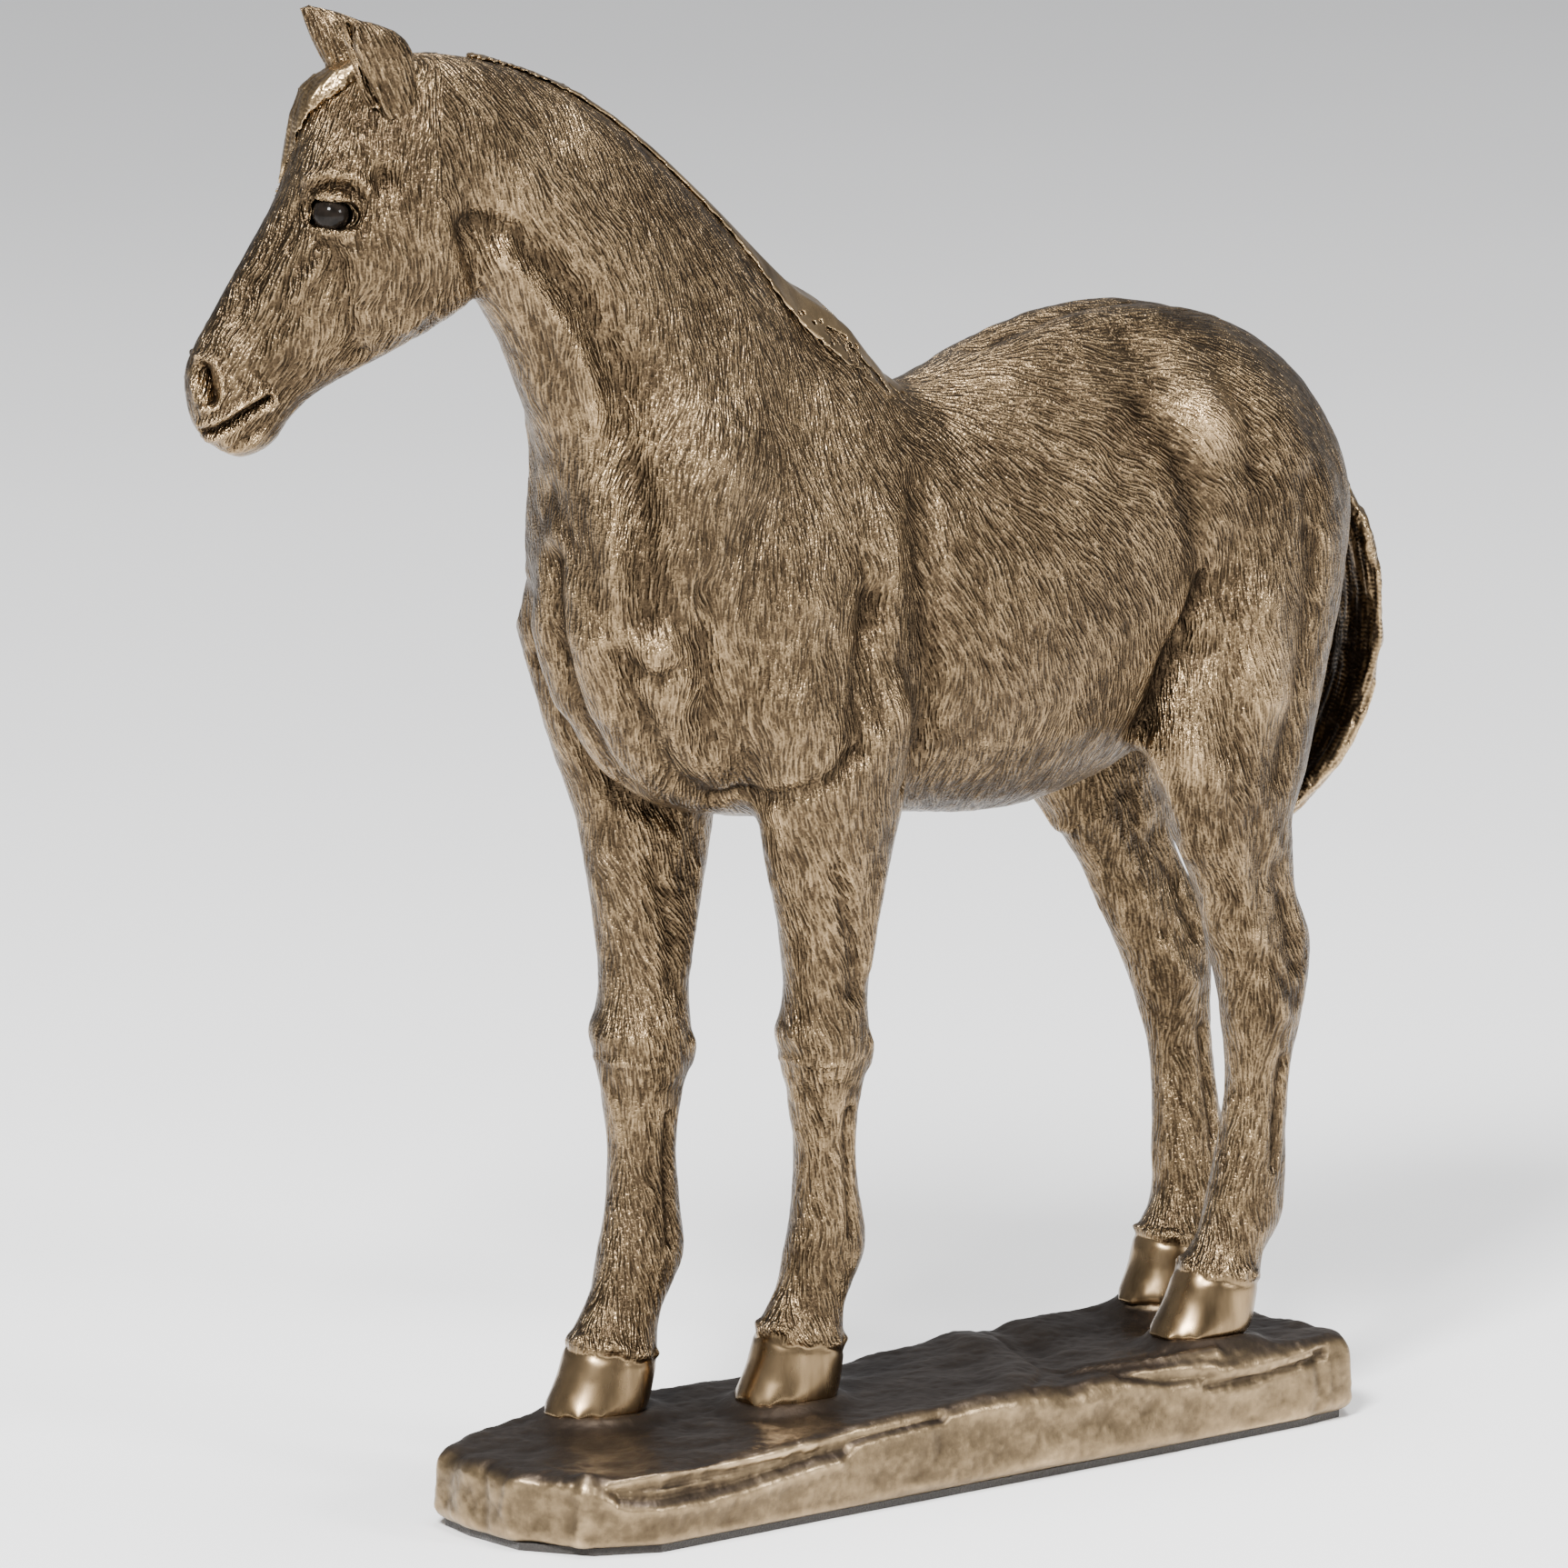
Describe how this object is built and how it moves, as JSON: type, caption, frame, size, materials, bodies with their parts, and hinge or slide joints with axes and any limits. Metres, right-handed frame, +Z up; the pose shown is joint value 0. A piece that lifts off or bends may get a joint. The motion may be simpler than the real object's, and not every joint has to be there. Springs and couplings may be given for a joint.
{
  "type": "standing horse statue",
  "caption": "Cast bronze statue of a horse standing with its head turned, its mane falling to the far side, bolted by its hooves to a long low rock with felt underneath.",
  "frame": {"origin": "centre of the felt's underside", "axes": "+Z up, the rock's length along X, the horse looks along -X with its left side towards -Y"},
  "size_m": [0.2135, 0.0576, 0.2373],
  "materials": {
    "bronze": "combed coat, brown patina in the strokes and rubbed bright on the high places",
    "bronze_rubbed": "smoother strands, rubbed brighter than the coat",
    "rock_bronze": "satin brown patina, gold-brown and mottled on the sides",
    "eye": "glossy black bead",
    "felt": "short-piled felt",
    "steel": "plain turned steel"
  },
  "bodies": {
    "root": {"felt_pad": "felt", "base_casting": "rock_bronze", "front_body": "bronze", "rear_body": "bronze", "neck": "bronze", "head": "bronze", "left_ear": "bronze", "right_ear": "bronze", "left_eye": "eye", "right_eye": "eye", "forelock": "bronze_rubbed", "mane": "bronze_rubbed", "tail": "bronze_rubbed", "left_foreleg": "bronze", "right_foreleg": "bronze", "left_hindleg": "bronze", "right_hindleg": "bronze", "hoof_studs": "steel", "stud_washers": "steel", "stud_nuts": "steel", "foreleg_dowels": "steel", "hindleg_dowels": "steel", "barrel_dowels": "steel", "neck_dowels": "steel", "head_dowel": "steel", "ear_pins": "steel", "forelock_pin": "steel", "mane_pins": "steel", "tail_pin": "steel"}
  },
  "joints": []
}
